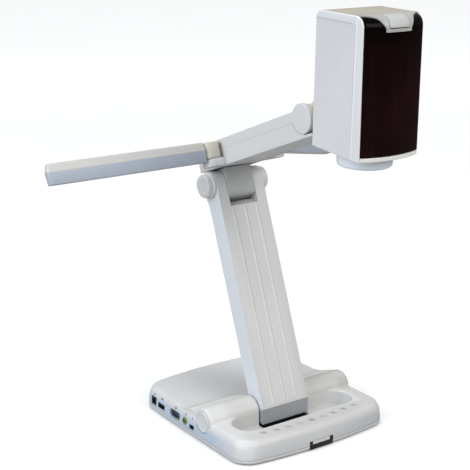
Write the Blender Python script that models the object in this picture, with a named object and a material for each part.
# Document camera: weighted base with connectors on its left side, lower arm on
# a transverse hinge, upper arm on an elbow hinge, two swinging light bars and
# a tilting camera head.
#
# Frame: metres, +X to the right of the user, +Y to the rear, +Z up.  The
# origin is the middle of the base footprint on the table.  Sizes below are in
# millimetres and degrees; the solid makers convert them to metres.
import math
import bpy
import bmesh
from mathutils import Matrix, Vector

MM = 0.001

# ---- fits ------------------------------------------------------------------
GAP = 0.3                  # clearance between neighbouring pieces
SHAFT_R = 5.0              # base hinge and elbow shafts
HEAD_SHAFT_R = 4.0
PIN_R = 3.0                # light bar pins

# ---- base ------------------------------------------------------------------
BASE_HALF_W = 107.0        # half width at the corners
BASE_FRONT = 116.0         # front corner distance from the middle
BASE_REAR = 112.0          # rear corner distance from the middle
BOW_FRONT, BOW_REAR, BOW_SIDE = 9.5, 12.0, 3.5
BASE_FLARE = 0.035         # the base widens a little toward the front
BASE_CORNER_R = 19.0
INSET_X, INSET_Y = 110.0, 120.0    # half sizes that a plan inset is scaled by
DECK_Z = 28.5              # top of the base deck
COVER_Z0 = 5.3             # lower edge of the top cover
HINGE_Y, HINGE_Z = -30.0, 26.0
HINGE = (HINGE_Y, HINGE_Z)
BARREL_R, BARREL_HALF = 17.5, 108.0
CAP_R = 13.4               # base hinge end caps

KEY_COUNT = 9
KEY_ROW_HALF = 69.0        # middle to the outermost key
KEY_ROW_Y, KEY_ROW_BOW = -106.0, 5.0
KEY_R, MIDDLE_KEY_R = 3.9, 5.0

FOOT_R = 7.5
FEET = [("rear_left", -82, 92), ("rear_right", 82, 92),
        ("front_left", -82, -96), ("front_right", 82, -96)]

NOTCH_HALF, NOTCH_REAR = 18.0, -111.8      # opening in the front edge
TAB_ROOM_HALF = 13.2                       # half width of the latch tab recess

# Connectors on the left side: y range, z range, outer x, bevel, look
PORTS = {
    "dc_jack": ((79.0, 91.0), (8.6, 19.2), -108.0, 0.5, "black"),
    "hdmi_port": ((57.5, 73.5), (9.6, 16.2), -108.9, 0.4, "black"),
    "vga_connector": ((20.6, 43.4), (9.2, 19.0), -107.4, 0.4, "steel"),
    "usb_port": ((-12.4, -2.0), (8.4, 14.2), -108.9, 0.4, "black"),
}
PORT_INNER_X = -95.0
PORT_HOLE = (-125, -94)    # x span of the openings in the top cover
PORT_MOUTH = (-125, -99)   # x span of the recesses in the connectors
RCA = (8.2, 14.4)          # y, z of the round jack

# ---- arms ------------------------------------------------------------------
ARM_HALF = 35.0            # half width of the lower arm
ARM_FRONT, ARM_BACK = -23.9, 1.8
ARM_LEAN = 20.25           # rearward lean of the lower arm from upright
INSIDE_HALF = 31.5         # half width of the hollows in both arms
INSIDE_Z0 = 24.0           # lower end of the hollow in the lower arm
ELBOW_Y, ELBOW_Z = -7.5, 281.2
INSIDE_Z1 = ELBOW_Z - 45
ROOT_R = 17.0              # rounded lower end of the lower arm
EAR_R = 16.4
FORK_HALF = 20.5
RIB_PITCH, RIB_HALF = 17.6, 0.7

UP_HALF = 34.0             # half width of the upper arm
UP_FRONT, UP_REAR = -223.0, 16.0
UP_BOT, UP_TOP, UP_SPLIT = 18.0, 50.6, 38.4
TILT_Y, TILT_Z = -208.6, 39.7
TILT = (TILT_Y, TILT_Z)
CHEEK_R = 17.0

# ---- light bars --------------------------------------------------------------
LAMP_X, LAMP_Y = 47.0, -35.0
LAMP_LEN = 219.0
LAMP_BOT, LAMP_TOP = 24.8, 49.2
LAMP_END_R = 6.5
RIGHT_LAMP_REST = 35.0     # rearward swing of the right light bar at rest
SHELF_R = 11.4             # rounded shelf under each light bar hinge

# ---- camera head -------------------------------------------------------------
HEAD_HALF = 42.5
HEAD_INNER = 39.6          # inner faces of the side shells
PANEL_HALF = HEAD_INNER - GAP
HEAD_BACK, HEAD_FRONT = -31.0, -107.6
HEAD_SIDE_FRONT = -106.6   # front edge of the side shells
HEAD_BOW = 7.0
HEAD_BOT, HEAD_TOP = -22.0, 122.0
HEAD_PITCH = 2.0
HEAD_LEAN = -0.018         # the front of the head reaches a little further at the bottom
LEAN_Z = 20.0              # height that the lean leaves in place
HEAD_SLANT = 0.062         # drop of the underside toward the front
TOP_REAR_R, TOP_FRONT_R = 8.0, 11.5        # upper corners of the side shells
WRAP_R, WRAP_Z, WRAP_END_Y = 11.0, 109.5, -86.6
LENS_Y, LENS_R = -70.0, 30.3

SIDES = ((-1, "left"), (1, "right"))
SOFTEN_ANGLE = 35          # edges sharper than this are bevelled

for old in list(bpy.data.objects):
    bpy.data.objects.remove(old, do_unlink=True)


def collection(name):
    made = bpy.data.collections.new(name)
    bpy.context.scene.collection.children.link(made)
    return made


PART = collection("document_camera")
CUT = collection("cutters")

# ---- materials ---------------------------------------------------------------
# Base colour, roughness, metallic
LOOK = {
    "shell": ((0.62, 0.62, 0.60), 0.45, 0),
    "grey": ((0.30, 0.30, 0.30), 0.55, 0),
    "beige": ((0.52, 0.49, 0.40), 0.5, 0),
    "black": ((0.01, 0.01, 0.01), 0.4, 0),
    "smoke": ((0.012, 0.006, 0.006), 0.08, 0),
    "cream": ((0.66, 0.63, 0.55), 0.5, 0),
    "steel": ((0.5, 0.5, 0.5), 0.3, 1),
    "board": ((0.02, 0.16, 0.06), 0.5, 0),
    "blue": ((0.01, 0.03, 0.22), 0.45, 0),
    "yellow": ((0.55, 0.5, 0.04), 0.45, 0),
    "rubber": ((0.03, 0.03, 0.03), 0.85, 0),
    "diffuser": ((0.8, 0.8, 0.8), 0.6, 0),
    "glass": ((0.05, 0.06, 0.08), 0.03, 0),
    "key": ((0.58, 0.57, 0.55), 0.5, 0),
}


def material(name, look):
    colour, roughness, metallic = LOOK[look]
    made = bpy.data.materials.new(name)
    made.use_nodes = True
    inputs = made.node_tree.nodes["Principled BSDF"].inputs
    inputs["Base Color"].default_value = (*colour, 1.0)
    inputs["Roughness"].default_value = roughness
    inputs["Metallic"].default_value = metallic
    return made


# ---- frames ------------------------------------------------------------------
def shift(x, y, z):
    return Matrix.Translation(Vector((x, y, z)) * MM)


def turn(degrees, axis):
    return Matrix.Rotation(math.radians(degrees), 4, axis)


def lamp_pivot(side):
    return UPPER @ shift(side * LAMP_X, LAMP_Y, 0)


WORLD = Matrix.Identity(4)
LOWER = shift(0, HINGE_Y, HINGE_Z) @ turn(-ARM_LEAN, "X")
UPPER = LOWER @ shift(0, ELBOW_Y, ELBOW_Z)
HEAD = UPPER @ shift(0, TILT_Y, TILT_Z) @ turn(ARM_LEAN + HEAD_PITCH, "X")


# ---- spans and outlines ------------------------------------------------------
def across(half):
    """Span centred on zero."""
    return -half, half


def outboard(side, near, far):
    """Span between two distances from the middle plane, on one side of it."""
    return tuple(sorted((side * near, side * far)))


def arc(cx, cy, radius, start, end, steps):
    angles = [math.radians(start + (end - start) * i / steps) for i in range(steps + 1)]
    return [(cx + radius * math.cos(a), cy + radius * math.sin(a)) for a in angles]


def rounded(x0, x1, y0, y1, r, steps=5):
    return (arc(x1 - r, y0 + r, r, -90, 0, steps) + arc(x1 - r, y1 - r, r, 0, 90, steps)
            + arc(x0 + r, y1 - r, r, 90, 180, steps) + arc(x0 + r, y0 + r, r, 180, 270, steps))


def circle(cx, cy, radius, steps):
    return arc(cx, cy, radius, 0, 360 - 360.0 / steps, steps - 1)


def base_plan(inset=0.0):
    """Rounded rectangle with every side bowed outward."""
    x_in = BASE_HALF_W - BASE_CORNER_R
    front_in = -BASE_FRONT + BASE_CORNER_R
    rear_in = BASE_REAR - BASE_CORNER_R
    corners = [arc(x, y, BASE_CORNER_R, start, start + 90, 6)
               for x, y, start in ((x_in, front_in, -90), (x_in, rear_in, 0),
                                   (-x_in, rear_in, 90), (-x_in, front_in, 180))]
    points = []
    for corner, following in zip(corners, corners[1:] + corners[:1]):
        points += corner
        (xa, ya), (xb, yb) = corner[-1], following[0]
        points += [(xa + (xb - xa) * i / 7, ya + (yb - ya) * i / 7) for i in range(1, 7)]
    outline = []
    for x, y in points:
        depth, bow = (BASE_FRONT, BOW_FRONT) if y < 0 else (BASE_REAR, BOW_REAR)
        bow_y = bow * (1 - (x / BASE_HALF_W) ** 2) * (abs(y) / depth) ** 2
        bow_x = BOW_SIDE * (1 - (y / BASE_FRONT) ** 2) * (abs(x) / BASE_HALF_W) ** 2
        widen = 1 + BASE_FLARE * max(0.0, -y / BASE_FRONT) ** 1.5
        outline.append(((x + math.copysign(bow_x, x)) * widen * (1 - inset / INSET_X),
                        (y + math.copysign(bow_y, y)) * (1 - inset / INSET_Y)))
    return outline


# ---- solid makers ------------------------------------------------------------
# A piece with a look goes in PART; one without is a boolean helper in CUT.
# Outlines are (x, y) for axis Z, (y, z) for axis X and (x, z) for axis Y.
AXES = {"Z": Matrix.Identity(4),
        "X": Matrix(((0, 0, 1, 0), (1, 0, 0, 0), (0, 1, 0, 0), (0, 0, 0, 1))),
        "Y": Matrix(((1, 0, 0, 0), (0, 0, -1, 0), (0, 1, 0, 0), (0, 0, 0, 1)))}


def merge_doubles(bm):
    bmesh.ops.remove_doubles(bm, verts=bm.verts[:], dist=2e-6)


def outward(bm):
    bmesh.ops.recalc_face_normals(bm, faces=bm.faces[:])
    if bm.calc_volume(signed=True) < 0:
        bmesh.ops.reverse_faces(bm, faces=bm.faces[:])
    bm.normal_update()


def place(name, bm, frame, look):
    merge_doubles(bm)
    outward(bm)
    mesh = bpy.data.meshes.new(name)
    bm.to_mesh(mesh)
    bm.free()
    made = bpy.data.objects.new(name, mesh)
    (PART if look else CUT).objects.link(made)
    made.matrix_world = frame
    if look:
        mesh.materials.append(material(name + "_mat", look))
    return made


def soften(bm, width, segments=2, pick=None):
    """Bevel the sharp edges whose midpoint (in mm) passes pick."""
    edges = []
    for edge in bm.edges:
        if len(edge.link_faces) == 2 and edge.calc_face_angle(0) > math.radians(SOFTEN_ANGLE):
            middle = (edge.verts[0].co + edge.verts[1].co) / 2 / MM
            if pick is None or pick(middle):
                edges.append(edge)
    if edges:
        bmesh.ops.bevel(bm, geom=edges, offset=width * MM, segments=segments, profile=0.5,
                        affect="EDGES", clamp_overlap=True)


def extruded(loops, span, axis):
    """Closed outlines (holes allowed) filled as a 2D curve and extruded."""
    lo, hi = span
    curve = bpy.data.curves.new("outline", "CURVE")
    curve.dimensions = "2D"
    curve.fill_mode = "BOTH"
    curve.extrude = (hi - lo) / 2 * MM
    for loop in loops:
        spline = curve.splines.new("POLY")
        spline.points.add(len(loop) - 1)
        for point, (u, v) in zip(spline.points, loop):
            point.co = (u * MM, v * MM, 0, 1)
        spline.use_cyclic_u = True
    holder = bpy.data.objects.new("outline", curve)
    bpy.context.scene.collection.objects.link(holder)
    bpy.context.view_layer.update()
    depsgraph = bpy.context.evaluated_depsgraph_get()
    mesh = bpy.data.meshes.new_from_object(holder.evaluated_get(depsgraph))
    bm = bmesh.new()
    bm.from_mesh(mesh)
    bpy.data.objects.remove(holder, do_unlink=True)
    bpy.data.curves.remove(curve)
    bpy.data.meshes.remove(mesh)
    merge_doubles(bm)
    bmesh.ops.dissolve_limit(bm, angle_limit=math.radians(0.3), verts=bm.verts[:],
                             edges=bm.edges[:], use_dissolve_boundaries=False)
    # the Y matrix sends the extrusion toward -Y
    sign = -1 if axis == "Y" else 1
    bm.transform(AXES[axis] @ Matrix.Translation((0, 0, (lo + hi) / 2 * MM * sign)))
    outward(bm)
    return bm


def prism(name, loops, span, axis, frame=WORLD, look=None, bevel=0, segments=2, pick=None,
          warp=None):
    bm = extruded(loops, span, axis)
    if bevel:
        soften(bm, bevel, segments, pick)
    if warp:
        for vert in bm.verts:
            vert.co = Vector(warp(*(vert.co / MM))) * MM
    return place(name, bm, frame, look)


def box(name, xs, ys, zs, frame=WORLD, look=None, bevel=0, segments=2, pick=None):
    spans = (xs, ys, zs)
    middle = Vector([(lo + hi) / 2 for lo, hi in spans]) * MM
    size = Vector([hi - lo for lo, hi in spans]) * MM
    bm = bmesh.new()
    bmesh.ops.create_cube(bm, size=1.0,
                          matrix=Matrix.Translation(middle) @ Matrix.Diagonal(size.to_4d()))
    if bevel:
        soften(bm, bevel, segments, pick)
    return place(name, bm, frame, look)


def rod(name, radius, span, axis, segments, centre=(0, 0), frame=WORLD, look=None, bevel=0):
    """Cylinder along X or Z; centre holds the two other coordinates."""
    lo, hi = span
    bm = bmesh.new()
    bmesh.ops.create_cone(bm, cap_ends=True, cap_tris=False, segments=segments,
                          radius1=radius * MM, radius2=radius * MM, depth=(hi - lo) * MM,
                          matrix=AXES[axis] @ shift(*centre, (lo + hi) / 2))
    if bevel:
        soften(bm, bevel, 1)
    return place(name, bm, frame, look)


def lathe(name, profile, centre, axis, frame, look, steps):
    """Profile of (radius, height) turned about an axis through centre."""
    bm = bmesh.new()
    verts = [bm.verts.new((radius * MM, 0, height * MM)) for radius, height in profile]
    edges = [bm.edges.new(pair) for pair in zip(verts, verts[1:])]
    bmesh.ops.spin(bm, geom=verts + edges, cent=(0, 0, 0), axis=(0, 0, 1), angle=2 * math.pi,
                   steps=steps, use_duplicate=False)
    merge_doubles(bm)
    bm.transform(AXES[axis] @ shift(*centre, 0))
    return place(name, bm, frame, look)


def loft(name, sections, look):
    """Stack of equal-length plan outlines, each at its own height."""
    bm = bmesh.new()
    rings = [[bm.verts.new((x * MM, y * MM, z * MM)) for x, y in outline]
             for z, outline in sections]
    for low, high in zip(rings, rings[1:]):
        count = len(low)
        for i in range(count):
            j = (i + 1) % count
            bm.faces.new((low[i], low[j], high[j], high[i]))
    bm.faces.new(list(reversed(rings[0])))
    bm.faces.new(rings[-1])
    return place(name, bm, WORLD, look)


def boolean(target, helper, operation):
    modifier = target.modifiers.new(operation.lower(), "BOOLEAN")
    modifier.operation = operation
    modifier.solver = "EXACT"
    modifier.object = helper
    helper.hide_render = True
    helper.display_type = "WIRE"


def cut(target, helper):
    boolean(target, helper, "DIFFERENCE")


def join(target, helper):
    boolean(target, helper, "UNION")


def end_caps(name, profile, centre, frame):
    """A turned cap on each end of a transverse hinge."""
    for side, word in SIDES:
        lathe(name + word, [(radius, side * x) for radius, x in profile], centre, "X",
              frame, "shell", 32)


# ==== base ====================================================================
# Height of each section and inset of its plan
TOP_SECTIONS = [(COVER_Z0, 0.0), (14, 0.4), (20, 1.3), (24.2, 2.8), (27.2, 4.8), (DECK_Z, 7.6)]
BOTTOM_SECTIONS = [(0.0, 3.2), (1.4, 0.7), (COVER_Z0 - GAP, 0.0)]

# (y, z) section of the ramp from the deck up to the hinge barrel
RAMP = [(-30, 20), (24, 20), (20, DECK_Z - 0.2), (12, 29.6), (4, 32.2), (-4, 35.4),
        (-12, 38.2), (-19, 40.2), (-24, 42.3), (-30, 43.2)]
# (y, z) section of the slot that the lower arm stands in
ARM_SLOT = [(-60, 3), (-12, 3), (-12, 26), (-10.5, DECK_Z), (20, DECK_Z), (20, 70), (-60, 70)]


def key_row():
    """(number, x, y, radius) of each key along the bowed front rim."""
    keys = []
    for i in range(KEY_COUNT):
        x = -KEY_ROW_HALF + 2 * KEY_ROW_HALF * i / (KEY_COUNT - 1)
        y = KEY_ROW_Y + KEY_ROW_BOW * (x / KEY_ROW_HALF) ** 2
        keys.append((i + 1, x, y, MIDDLE_KEY_R if i == KEY_COUNT // 2 else KEY_R))
    return keys


def top_cover():
    top = loft("base_top_cover", [(z, base_plan(inset)) for z, inset in TOP_SECTIONS], "shell")
    join(top, rod("add_barrel", BARREL_R, across(BARREL_HALF), "X", 36, HINGE, bevel=2.4))
    join(top, prism("add_ramp", [RAMP], across(BARREL_HALF - 2), "X"))
    cut(top, prism("cut_base_cavity", [rounded(-98, 98, -4, 101, 22)], (3, 25.6), "Z"))
    cut(top, prism("cut_key_pocket", [rounded(-82, 82, -111, -93.5, 4, 3)], (3, 23.0), "Z"))
    # recess in the deck in front of the barrel
    cut(top, prism("cut_trough", [rounded(-87, 87, -90, HINGE_Y - BARREL_R, 19, 8)],
                   (9, 60), "Z"))
    cut(top, prism("cut_arm_slot", [ARM_SLOT], across(ARM_HALF + 0.8), "X"))
    cut(top, rod("cut_shaft_bore", SHAFT_R + GAP, across(104), "X", 16, HINGE))
    for side, word in SIDES:
        cut(top, rod("cut_cap_seat_" + word[0], CAP_R + GAP, outboard(side, 104.5, 120), "X",
                     32, HINGE))
    for name, ((y0, y1), (z0, z1), *_) in PORTS.items():
        cut(top, box("cut_%s_hole" % name, PORT_HOLE, (y0 - GAP, y1 + GAP),
                     (z0 - GAP, z1 + GAP)))
    cut(top, rod("cut_rca_hole", 4.9, PORT_HOLE, "X", 20, RCA))
    cut(top, box("cut_front_notch", across(NOTCH_HALF), (-140, NOTCH_REAR), (0, 11.5)))
    for number, x, y, radius in key_row():
        cut(top, rod("cut_key_hole_%d" % number, radius + GAP, (20, 40), "Z", 16, (x, y)))


def keys():
    for number, x, y, radius in key_row():
        rod("key_%d" % number, radius, (0, 5.6), "Z", 16, frame=shift(x, y, 23.3),
            look="key", bevel=0.5)


def bottom_cover_and_feet():
    """The pads sit in shallow pockets, flush with the underside."""
    bottom = loft("base_bottom_cover", [(z, base_plan(inset)) for z, inset in BOTTOM_SECTIONS],
                  "shell")
    cut(bottom, box("cut_bottom_notch", across(NOTCH_HALF), (-140, NOTCH_REAR), (-2, 11)))
    for name, x, y in FEET:
        cut(bottom, rod("cut_foot_pocket_" + name, FOOT_R + GAP, (-3, 1.6), "Z", 20, (x, y)))
        rod("foot_" + name, FOOT_R, (0, 1.3), "Z", 20, frame=shift(x, y, 0), look="rubber",
            bevel=0.3)


def base_internals():
    prism("ballast_plate", [rounded(14, 92, 2, 94, 20, 4)], (5.3, 14.0), "Z",
          look="steel", bevel=0.8, segments=1)
    prism("main_board", [rounded(-96, 4, -2, 98, 21, 4)], (6.4, 8.0), "Z", look="board")
    prism("key_board", [rounded(-79, 79, -110, -95, 3, 2)], (19.8, 21.4), "Z", look="board")


def base_hinge():
    rod("base_hinge_shaft", SHAFT_R, across(103.5), "X", 16, HINGE, look="steel")
    profile = [(0, 105), (CAP_R, 105), (CAP_R, 108.3), (12.7, 109.2), (11.4, 109.3),
               (9.6, 108.7), (6, 108.4), (0, 108.3)]
    end_caps("hinge_cap_", profile, HINGE, WORLD)


def port_body(name):
    ys, zs, outer_x, bevel, look = PORTS[name]
    return box(name, (outer_x, PORT_INNER_X), ys, zs, look=look, bevel=bevel, segments=1)


def dc_jack():
    (y0, y1), (z0, z1), *_ = PORTS["dc_jack"]
    centre = ((y0 + y1) / 2, (z0 + z1) / 2)
    cut(port_body("dc_jack"), rod("cut_dc_bore", 3.6, PORT_MOUTH, "X", 16, centre))


def hdmi_port():
    mouth = [(58.7, 15.2), (72.3, 15.2), (72.3, 12.6), (70.4, 10.9), (60.6, 10.9), (58.7, 12.6)]
    cut(port_body("hdmi_port"), prism("cut_hdmi_mouth", [mouth], PORT_MOUTH, "X"))


def vga_connector():
    seat = [(22.4, 18.0), (41.6, 18.0), (39.8, 10.2), (24.2, 10.2)]
    insert = [(23.5, 17.2), (40.5, 17.2), (38.9, 11.0), (25.1, 11.0)]
    cut(port_body("vga_connector"), prism("cut_vga_seat", [seat], (-125, -101), "X"))
    prism("vga_insert", [insert], (-109.6, -101.8), "X", look="blue")


def rca_jack():
    profile = [(0, -95), (4.5, -95), (4.5, -108.6), (4.1, -111.2), (3.0, -111.2), (3.0, -104),
               (0, -104)]
    lathe("rca_jack", profile, RCA, "X", WORLD, "yellow", 20)


def usb_port():
    (y0, y1), (z0, z1), *_ = PORTS["usb_port"]
    cut(port_body("usb_port"),
        box("cut_usb_mouth", PORT_MOUTH, (y0 + 1.0, y1 - 1.0), (z0 + 1.2, z1 - 1.2)))


def front_latch():
    """Black liner in the front notch, with a pale tab in its recess."""
    liner = box("latch_liner", across(NOTCH_HALF - GAP), (-125.0, NOTCH_REAR - GAP),
                (0.6, 11.2), look="black")
    cut(liner, box("cut_latch_pocket", across(TAB_ROOM_HALF), (-130, -119.8), (6.4, 20)))
    box("latch_tab", across(TAB_ROOM_HALF - GAP), (-1.7, 1.6), across(2.1),
        shift(0, -123.5, 8.9), "shell", bevel=0.4, segments=1)


# ==== lower arm (frame LOWER, z runs up the arm) ==============================
# Section of the space between the elbow ears: y, z from the elbow axis
FORK = [(-40, -30.5), (-22, -30.2), (-14.5, -25.2), (-7.5, -24.5), (-2.5, -23.9),
        (ARM_BACK, -22.5), (30, -22.5), (30, 40), (-40, 40)]


def lower_arm():
    outline = ([(ARM_FRONT, -2.8), (-15.4, -21.7), (-11.0, -17.6)]
               + arc(0, 0, ROOT_R, 245, 360, 8) + arc(0, 0, ROOT_R, 20, 82, 4)
               + [(ARM_BACK, 24), (ARM_BACK, ELBOW_Z - 24), (4.6, ELBOW_Z - 18)]
               + arc(ELBOW_Y, ELBOW_Z, EAR_R, -30, 180, 12))
    arm = prism("lower_arm_body", [outline], across(ARM_HALF), "X", LOWER, "shell", bevel=1.6,
                pick=lambda m: abs(m.x) > ARM_HALF - 0.1 and -1 < m.z < ELBOW_Z - 25)
    cut(arm, box("cut_lower_inside", across(INSIDE_HALF), (-20.6, 9), (INSIDE_Z0, INSIDE_Z1),
                 LOWER))
    cut(arm, prism("cut_fork", [[(y, ELBOW_Z + z) for y, z in FORK]], across(FORK_HALF), "X",
                   LOWER))
    for name, centre in (("root", (0, 0)), ("elbow", (ELBOW_Y, ELBOW_Z))):
        cut(arm, rod("cut_lower_%s_bore" % name, SHAFT_R + GAP, across(60), "X", 16, centre,
                     LOWER))
    # three upright ribs on the front face
    for k in range(3):
        x = (k - 1) * RIB_PITCH
        rib = rounded(x - RIB_HALF, x + RIB_HALF, ARM_FRONT - 0.5, ARM_FRONT + 1.0, 0.35, 1)
        join(arm, prism("add_rib_%d" % (k + 1), [rib], (3, ELBOW_Z - 33.5), "Z", LOWER))
    box("lower_arm_back_cover", across(INSIDE_HALF - GAP), (-1.0, ARM_BACK - 0.2),
        (INSIDE_Z0 + GAP, INSIDE_Z1 - GAP), LOWER, "shell", bevel=0.6, segments=1)


def elbow_hinge():
    rod("elbow_shaft", SHAFT_R, across(34.6), "X", 16, frame=UPPER, look="steel")
    profile = [(0, 35.3), (16.2, 35.3), (16.2, 37.4), (15.2, 38.2), (14.6, 38.6), (14.6, 43.6),
               (13.4, 45.1), (11.0, 45.7), (0, 45.7)]
    end_caps("elbow_cap_", profile, (0, 0), UPPER)


# ==== upper arm (frame UPPER, origin on the elbow axis, -y toward the head) ===
def elbow_knuckle():
    outline = ([(-18.0, UP_BOT - GAP)] + arc(-10.5, -12.5, 7.5, 180, 270, 5)
               + arc(0, 0, 23.6, -90, -52, 4) + [(UP_REAR, -12.0), (UP_REAR, UP_BOT - GAP)])
    knuckle = prism("elbow_knuckle", [outline], across(FORK_HALF - 0.5), "X", UPPER, "grey")
    cut(knuckle, rod("cut_knuckle_bore", SHAFT_R + GAP, across(60), "X", 16, frame=UPPER))


def upper_arm_bottom():
    shell = box("upper_arm_bottom_shell", across(UP_HALF), (UP_FRONT, UP_REAR),
                (UP_BOT, UP_SPLIT - GAP / 2), UPPER, "shell", bevel=1.2, segments=1,
                pick=lambda m: m.z < UP_BOT + 0.1 or abs(m.y - UP_REAR) < 0.1)
    shelf = arc(0, 0, SHELF_R, 90, 270, 8) + [(20, -SHELF_R), (20, SHELF_R)]
    for side, word in SIDES:
        frame = lamp_pivot(side) @ turn(180 if side > 0 else 0, "Z")
        join(shell, prism("add_shelf_" + word[0], [shelf], (UP_BOT + 0.4, 28.0), "Z", frame))
    cut(shell, rod("cut_cheek_room", CHEEK_R + 0.4, across(60), "X", 32, TILT, UPPER))
    cut(shell, box("cut_front_room", across(60), (-260, TILT_Y), (21.4, 60), UPPER))
    cut(shell, box("cut_upper_inside", across(INSIDE_HALF), (-187, UP_REAR - 3), (20.8, 60),
                   UPPER))
    for side, word in SIDES:
        cut(shell, rod("cut_pin_" + word[0], PIN_R + GAP, (19.6, 60), "Z", 14,
                       (side * LAMP_X, LAMP_Y), UPPER))


def upper_arm_top():
    """Top shell; its cheeks hold the ends of the head shaft."""
    shell = box("upper_arm_top_shell", across(UP_HALF), (TILT_Y, UP_REAR),
                (UP_SPLIT + GAP / 2, UP_TOP), UPPER, "shell", bevel=1.4,
                pick=lambda m: m.z > UP_TOP - 0.1 or abs(m.y - UP_REAR) < 0.1)
    for side, word in SIDES:
        join(shell, rod("add_cheek_" + word[0], CHEEK_R, outboard(side, 28.0, UP_HALF), "X", 36,
                        TILT, UPPER, bevel=0.8))
    cut(shell, box("cut_top_inside", across(INSIDE_HALF), (-186, UP_REAR - 3),
                   (30, UP_TOP - 2.6), UPPER))
    cut(shell, box("cut_head_room", across(27.9), (-240, -187.5), (0, 80), UPPER))
    cut(shell, rod("cut_head_bore", HEAD_SHAFT_R + GAP, across(32), "X", 16, TILT, UPPER))


def head_shaft_and_lamp_pins():
    rod("head_shaft", HEAD_SHAFT_R, across(31.6), "X", 16,
        frame=UPPER @ shift(0, TILT_Y, TILT_Z), look="steel")
    for side, word in SIDES:
        rod("lamp_pin_" + word, PIN_R, (19.9, 46.6), "Z", 14, frame=lamp_pivot(side),
            look="steel")


# ==== light bars (origin on the pin; drawn for the left bar, which runs to -x) =
def lamp_window(inset_x, inset_y):
    """Long rectangle inside the bar, inset from the pocket outline."""
    x0, x1 = -LAMP_LEN + 12 + inset_x, -24 - inset_x
    y0, y1 = -8.0 + inset_y, 1.4 - inset_y
    return [(x1, y0), (x1, y1), (x0, y1), (x0, y0)]


def light_bar(side, word, frame):
    def sided(loop):
        return [loop if side < 0 else [(-x, y) for x, y in reversed(loop)]]

    hinge = prism("lamp_%s_hinge" % word, sided(rounded(-11.5, 11.5, -11.2, 11.2, 8.6, 4)),
                  (28.3, 48.4), "Z", frame, "beige", bevel=0.8, segments=1)
    cut(hinge, rod("cut_lamp_hinge_" + word, PIN_R + GAP, (10, 46.9), "Z", 14, frame=frame))
    end_x = -LAMP_LEN + LAMP_END_R
    plan = ([(-12.0, -10.2), (-12.0, 3.6)] + arc(end_x, -2.9, LAMP_END_R, 90, 180, 5)
            + arc(end_x, -3.7, LAMP_END_R, 180, 270, 5))
    housing = prism("lamp_%s_housing" % word, sided(plan), (LAMP_BOT, LAMP_TOP), "Z", frame,
                    "shell", bevel=1.6,
                    pick=lambda m: m.z > LAMP_TOP - 0.1 and abs(m.x) > 12.5)
    cut(housing, prism("cut_lamp_pocket_" + word, sided(lamp_window(0, 0)), (10, 40), "Z",
                       frame))
    prism("lamp_%s_diffuser" % word, sided(lamp_window(GAP, GAP)),
          (LAMP_BOT + 0.4, LAMP_BOT + 2.6), "Z", frame, "diffuser", bevel=0.5, segments=1)
    prism("lamp_%s_led_board" % word, sided(lamp_window(2.0, 0.8)), (37.4, 39.0), "Z", frame,
          "board")


# ==== camera head (frame HEAD, origin on the tilt axis) =======================
PANEL_XS = [-PANEL_HALF + 2 * PANEL_HALF * k / 8 for k in range(9)]
UNIT_XS = [-1 + 2 * k / 6 for k in range(7)]

# Stations t along the wrapped front, see wrap()
PANEL_STATIONS = [0.0, 0.5, 1.0] + [1 + k / 5 for k in range(1, 6)] + [3.0]
TONGUE_STATIONS = [0.975, 1.0, 1.2, 1.4, 1.62, 1.72, 1.82, 1.92, 2.03, 2.3, 3.0]
SEAT_STATIONS = [1.0, 1.1, 1.2, 1.4, 1.6, 1.8, 2.0, 2.2]
BUTTON_STATIONS = [1.05, 1.1, 1.2, 1.4, 1.6, 1.8, 2.0, 2.17]


def lean(x, y, z):
    """The front of the head leans back a little toward the top, the rear stays upright."""
    forward = max(0.0, min(1.0, (HEAD_BACK - y) / (HEAD_BACK - HEAD_FRONT)))
    return x, y - HEAD_LEAN * (z - LEAN_Z) * forward, z


def slant(x, y, z):
    """Underside of the head drops a little toward the front."""
    z += (y - HEAD_BACK) * HEAD_SLANT
    return lean(x, y, z) if y < -100.6 else (x, y, z)


def front_y(x):
    return HEAD_FRONT - HEAD_BOW * (1 - (x / HEAD_INNER) ** 2)


def top_rear_arc(radius, start, end, steps):
    """Arc about the centre of the upper rear corner."""
    return arc(HEAD_BACK - TOP_REAR_R, HEAD_TOP - TOP_REAR_R, radius, start, end, steps)


def wrap(offset, x, t):
    """Point on the bowed front: t runs 0..1 up the face, 1..2 over the edge, 2..3 along the top."""
    y0, z0 = front_y(x), HEAD_BOT + 1.0
    if t <= 1:
        return lean(x, y0 - offset, z0 + (WRAP_Z - z0) * t)
    if t <= 2:
        angle = math.radians(90 * (t - 1))
        return lean(x, y0 + WRAP_R - (WRAP_R + offset) * math.cos(angle),
                    WRAP_Z + (WRAP_R + offset) * math.sin(angle))
    return lean(x, y0 + WRAP_R + (WRAP_END_Y - y0 - WRAP_R) * (t - 2), WRAP_Z + WRAP_R + offset)


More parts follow.
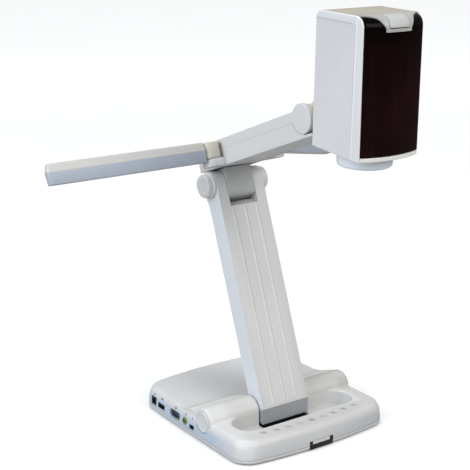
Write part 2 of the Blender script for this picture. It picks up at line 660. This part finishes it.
def skin(name, xs, stations, outer_offset, inner_offset, look=None, half_width=None):
    """Closed slab between two offset copies of the wrapped front.  The outer
    offset is a function of t; half_width, if given, scales xs at each t."""
    bm = bmesh.new()
    grids = []
    for offset in (outer_offset, lambda t: inner_offset):
        grid = []
        for t in stations:
            scale = half_width(t) if half_width else 1
            grid.append([bm.verts.new(Vector(wrap(offset(t), x * scale, t)) * MM) for x in xs])
        grids.append(grid)
    o, i = grids
    columns, rows = range(len(xs) - 1), range(len(stations) - 1)
    for a in rows:
        for b in columns:
            bm.faces.new((o[a][b], o[a][b + 1], o[a + 1][b + 1], o[a + 1][b]))
            bm.faces.new((i[a][b], i[a + 1][b], i[a + 1][b + 1], i[a][b + 1]))
    for b in columns:
        bm.faces.new((o[0][b], i[0][b], i[0][b + 1], o[0][b + 1]))
        bm.faces.new((o[-1][b], o[-1][b + 1], i[-1][b + 1], i[-1][b]))
    for a in rows:
        bm.faces.new((o[a][0], o[a + 1][0], i[a + 1][0], i[a][0]))
        bm.faces.new((o[a][-1], i[a][-1], i[a + 1][-1], o[a + 1][-1]))
    return place(name, bm, HEAD, look)


def flare(t):
    """Half width of the top tongue: spreads to the full width over the edge."""
    if t <= 1.62:
        return 16.6 + 12.0 * max(0.0, t - 1.0)
    return min(38.9, 24.0 + 38.0 * (t - 1.62) ** 1.09)


def sink(t):
    """Outer offset of the tongue, dipping into the top cover at its rear end."""
    return 1.9 if t <= 2.3 else 1.9 - 1.2 * (t - 2.3)


def head_knuckle():
    knuckle = rod("head_knuckle", 15.4, across(27.5), "X", 32, frame=HEAD, look="beige",
                  bevel=0.6)
    join(knuckle, box("add_neck", across(24), (HEAD_BACK + GAP, -6), (-6, 20), HEAD, bevel=1.0,
                      segments=1))
    cut(knuckle, rod("cut_knuckle_shaft", HEAD_SHAFT_R + GAP, across(60), "X", 16, frame=HEAD))


def head_back_panel():
    prism("head_back_panel", [rounded(*across(PANEL_HALF), HEAD_BOT + 1.2, 113.7, 2.5, 2)],
          (HEAD_BACK - 2.6, HEAD_BACK), "Y", HEAD, "shell")


def head_side_shells():
    outline = ([(HEAD_BACK, HEAD_BOT), (HEAD_SIDE_FRONT, HEAD_BOT - 4.7)]
               + arc(HEAD_SIDE_FRONT + TOP_FRONT_R, HEAD_TOP - TOP_FRONT_R, TOP_FRONT_R,
                     180, 90, 6)
               + top_rear_arc(TOP_REAR_R, 90, 0, 4))
    for side, word in SIDES:
        prism("head_shell_" + word, [outline], outboard(side, HEAD_INNER, HEAD_HALF), "X", HEAD,
              "shell", bevel=1.3, pick=lambda m: abs(m.x) > HEAD_HALF - 0.1, warp=lean)


def head_front_panel():
    panel = skin("head_front_panel", PANEL_XS, PANEL_STATIONS, lambda t: 0.0, -2.4, "smoke")
    cut(panel, box("cut_panel_rear", across(60), (-98.8, 0), (60, 160), HEAD))


def head_top():
    """Top cover with a tongue down over the front edge, and the button in it."""
    outline = ([(-95.2, 118.5), (-95.2, HEAD_TOP)] + top_rear_arc(TOP_REAR_R, 90, 0, 4)
               + top_rear_arc(4.5, 0, 90, 3))
    cover = prism("head_top_cover", [outline], across(PANEL_HALF), "X", HEAD, "cream",
                  warp=lean)
    join(cover, skin("add_tongue", UNIT_XS, TONGUE_STATIONS, sink, 0.35, half_width=flare))
    cut(cover, skin("cut_button_seat", [x * 13.4 for x in UNIT_XS], SEAT_STATIONS,
                    lambda t: 4.0, 0.95))
    skin("head_top_button", [x * 13.0 for x in UNIT_XS], BUTTON_STATIONS, lambda t: 2.3, 1.4,
         "cream")


def head_bottom_plate():
    rim = ([(-PANEL_HALF, -34.0), (-PANEL_HALF, HEAD_SIDE_FRONT)]
           + [(x, front_y(x) + 0.4) for x in PANEL_XS]
           + [(PANEL_HALF, HEAD_SIDE_FRONT), (PANEL_HALF, -34.0)])
    prism("head_bottom_plate", [rim, circle(0, LENS_Y, 25.6, 28)],
          (HEAD_BOT + 0.5, HEAD_BOT + 5.1), "Z", HEAD, "shell", warp=slant)


def lens_and_camera():
    centre = (0, LENS_Y)
    ring = [(25.2, -21.0), (25.2, -26.0), (LENS_R, -26.6), (LENS_R, -38.2), (28.6, -40.6),
            (24.8, -40.6), (22.0, -36.4), (22.0, -21.0), (25.2, -21.0)]
    lathe("lens_ring", ring, centre, "Z", HEAD, "shell", 36)
    rod("lens_glass", 21.6, (-35.6, -33.6), "Z", 28, centre, HEAD, "glass")
    camera = box("camera_block", across(20), (LENS_Y - 20, LENS_Y + 20), (-15.5, 34), HEAD,
                 "black", bevel=1.0, segments=1)
    join(camera, rod("add_camera_barrel", 14.0, (-32.8, -10), "Z", 24, centre, HEAD))


# ==== assembly ================================================================
top_cover()
keys()
bottom_cover_and_feet()
base_internals()
base_hinge()
dc_jack()
hdmi_port()
vga_connector()
rca_jack()
usb_port()
front_latch()

lower_arm()
elbow_hinge()
elbow_knuckle()
upper_arm_bottom()
upper_arm_top()
head_shaft_and_lamp_pins()
light_bar(-1, "left", lamp_pivot(-1))
light_bar(1, "right", lamp_pivot(1) @ turn(RIGHT_LAMP_REST, "Z"))

head_knuckle()
head_back_panel()
head_side_shells()
head_front_panel()
head_top()
head_bottom_plate()
lens_and_camera()
